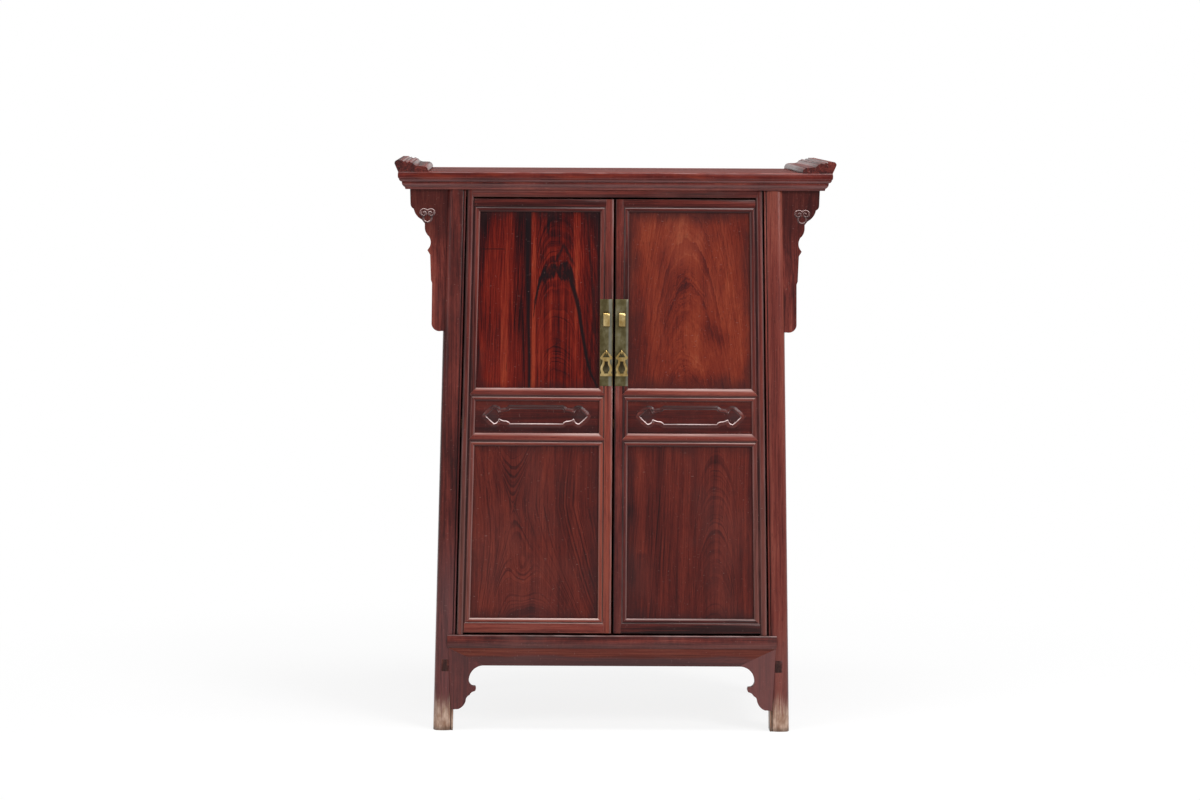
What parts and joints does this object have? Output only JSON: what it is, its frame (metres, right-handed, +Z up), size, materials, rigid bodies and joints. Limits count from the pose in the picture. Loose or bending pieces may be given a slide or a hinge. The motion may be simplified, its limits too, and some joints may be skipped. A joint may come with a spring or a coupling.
{
  "type": "kang cabinet",
  "caption": "Low cabinet with splayed legs, a top with everted ends and panelled doors on wooden pivots, with brass plates, lock staples and hanging pulls.",
  "frame": {"origin": "middle of the four feet's footprint, on the floor", "axes": "+X to the right across the front, +Y to the back, +Z up; the doors face -Y"},
  "size_m": [0.6178, 0.33, 0.807],
  "materials": {
    "rosewood": "worn satin lacquer",
    "panel_wood": "satin lacquer, figured",
    "plain_wood": "plain, unlacquered",
    "brass": "aged satin"
  },
  "bodies": {
    "cabinet": {"front_left_leg": "rosewood", "front_right_leg": "rosewood", "rear_left_leg": "rosewood", "rear_right_leg": "rosewood", "top_front_member": "rosewood", "top_rear_member": "rosewood", "top_left_end": "rosewood", "top_right_end": "rosewood", "front_left_hanging_spandrel": "rosewood", "front_right_hanging_spandrel": "rosewood", "rear_hanging_spandrels": "rosewood", "front_upper_rail": "rosewood", "front_lower_rail": "rosewood", "front_apron": "rosewood", "front_left_apron_spandrel": "rosewood", "front_right_apron_spandrel": "rosewood", "left_side_upper_rail": "rosewood", "right_side_upper_rail": "rosewood", "left_side_lower_rail": "rosewood", "right_side_lower_rail": "rosewood", "left_side_apron": "rosewood", "right_side_apron": "rosewood", "top_panel": "panel_wood", "left_side_panel": "panel_wood", "right_side_panel": "panel_wood", "rear_upper_rail": "plain_wood", "rear_middle_rail": "plain_wood", "rear_lower_rail": "plain_wood", "rear_upper_panel": "plain_wood", "rear_lower_panel": "plain_wood", "rear_apron": "plain_wood", "floor_board": "plain_wood", "shelf": "plain_wood", "shelf_bearers": "plain_wood", "top_braces": "plain_wood"},
    "left_door": {"left_door_hinge_stile": "rosewood", "left_door_meeting_stile": "rosewood", "left_door_top_rail": "rosewood", "left_door_middle_rails": "rosewood", "left_door_bottom_rail": "rosewood", "left_door_upper_panel": "panel_wood", "left_door_waist_panel": "panel_wood", "left_door_lower_panel": "panel_wood", "left_door_face_plate": "brass", "left_door_lock_staple": "brass", "left_door_pull_eye": "brass"},
    "left_pull": {"left_door_pull": "brass"},
    "right_door": {"right_door_hinge_stile": "rosewood", "right_door_meeting_stile": "rosewood", "right_door_top_rail": "rosewood", "right_door_middle_rails": "rosewood", "right_door_bottom_rail": "rosewood", "right_door_upper_panel": "panel_wood", "right_door_waist_panel": "panel_wood", "right_door_lower_panel": "panel_wood", "right_door_face_plate": "brass", "right_door_lock_staple": "brass", "right_door_pull_eye": "brass"},
    "right_pull": {"right_door_pull": "brass"}
  },
  "joints": [
    {"name": "left_door_hinge", "type": "hinge", "parent": "cabinet", "child": "left_door", "pos_m": [-0.21539, -0.15354, 0.13964], "axis": [-0.0215, -0.0104, -0.9997], "range_deg": [0, 115]},
    {"name": "right_door_hinge", "type": "hinge", "parent": "cabinet", "child": "right_door", "pos_m": [0.21539, -0.15354, 0.13964], "axis": [-0.0215, 0.0104, 0.9997], "range_deg": [0, 115]},
    {"name": "left_pull_swing", "type": "hinge", "parent": "left_door", "child": "left_pull", "pos_m": [-0.0109, -0.15808, 0.53846], "axis": [-1, 0, 0], "range_deg": [-3.5, 170]},
    {"name": "right_pull_swing", "type": "hinge", "parent": "right_door", "child": "right_pull", "pos_m": [0.0109, -0.15808, 0.53846], "axis": [-1, 0, 0], "range_deg": [-3.5, 170]}
  ]
}
